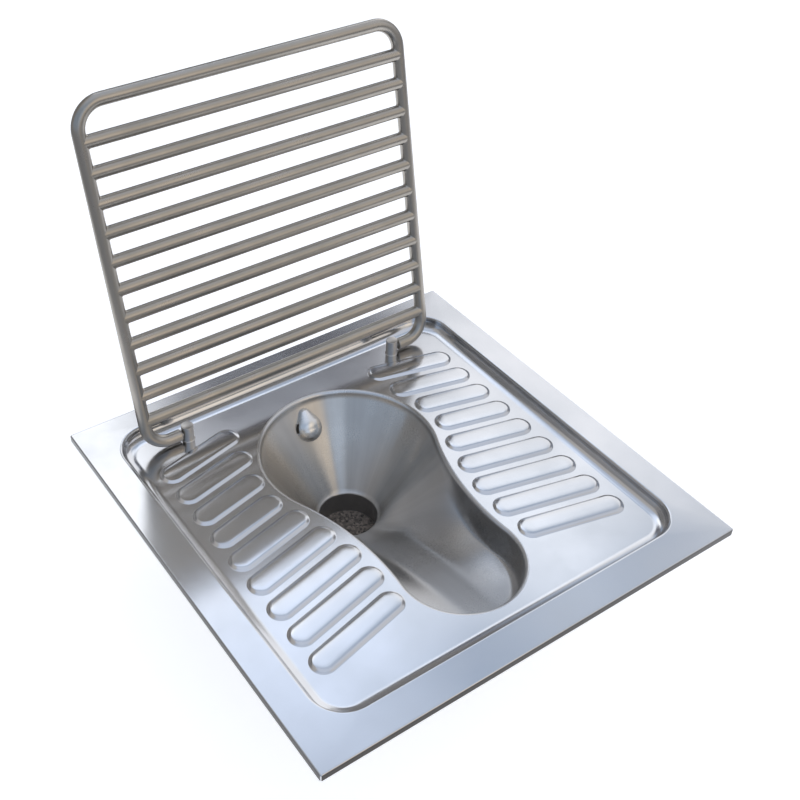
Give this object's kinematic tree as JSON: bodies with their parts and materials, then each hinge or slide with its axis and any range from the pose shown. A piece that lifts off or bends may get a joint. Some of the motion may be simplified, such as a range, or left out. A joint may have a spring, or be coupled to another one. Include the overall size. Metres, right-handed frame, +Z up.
{
  "type": "squat toilet",
  "caption": "Square squat pan of pressed stainless steel with ribbed foot areas, a keyhole bowl with rear drain, and a hinged tube grid that folds down over it.",
  "frame": {"origin": "middle of the flange's top face, level with the finished floor", "axes": "+Z up, +Y to the rear where the grid is hinged, +X to the user's right when facing the rear"},
  "size_m": [0.8, 0.8378, 0.8273],
  "materials": {
    "pressed_sheet": "satin, bright",
    "bowl_sheet": "satin, brushed towards the drain",
    "hood_sheet": "satin",
    "round_tube": "satin tube",
    "post_bar": "satin bar",
    "pin_bar": "turned",
    "hidden_steel": "mill finish"
  },
  "bodies": {
    "pan": {"tray": "pressed_sheet", "bowl": "bowl_sheet", "outlet_spigot": "hidden_steel", "flush_hood": "hood_sheet", "flush_inlet": "hidden_steel", "stiffener_left": "hidden_steel", "stiffener_right": "hidden_steel", "anchor_lugs": "hidden_steel", "earth_tag": "hidden_steel", "hinge_post_left": "post_bar", "hinge_post_right": "post_bar", "hinge_pin_left": "pin_bar", "hinge_pin_right": "pin_bar"},
    "grid": {"grid_frame": "round_tube", "end_plug_left": "round_tube", "end_plug_right": "round_tube", "grid_bar_01": "round_tube", "grid_bar_02": "round_tube", "grid_bar_03": "round_tube", "grid_bar_04": "round_tube", "grid_bar_05": "round_tube", "grid_bar_06": "round_tube", "grid_bar_07": "round_tube", "grid_bar_08": "round_tube", "grid_bar_09": "round_tube", "grid_bar_10": "round_tube", "grid_bar_11": "round_tube"}
  },
  "joints": [
    {"name": "grid_fold", "type": "hinge", "parent": "pan", "child": "grid", "pos_m": [0, 0.299, -0.0067], "axis": [1, 0, 0], "range_deg": [0, 102.2]}
  ]
}
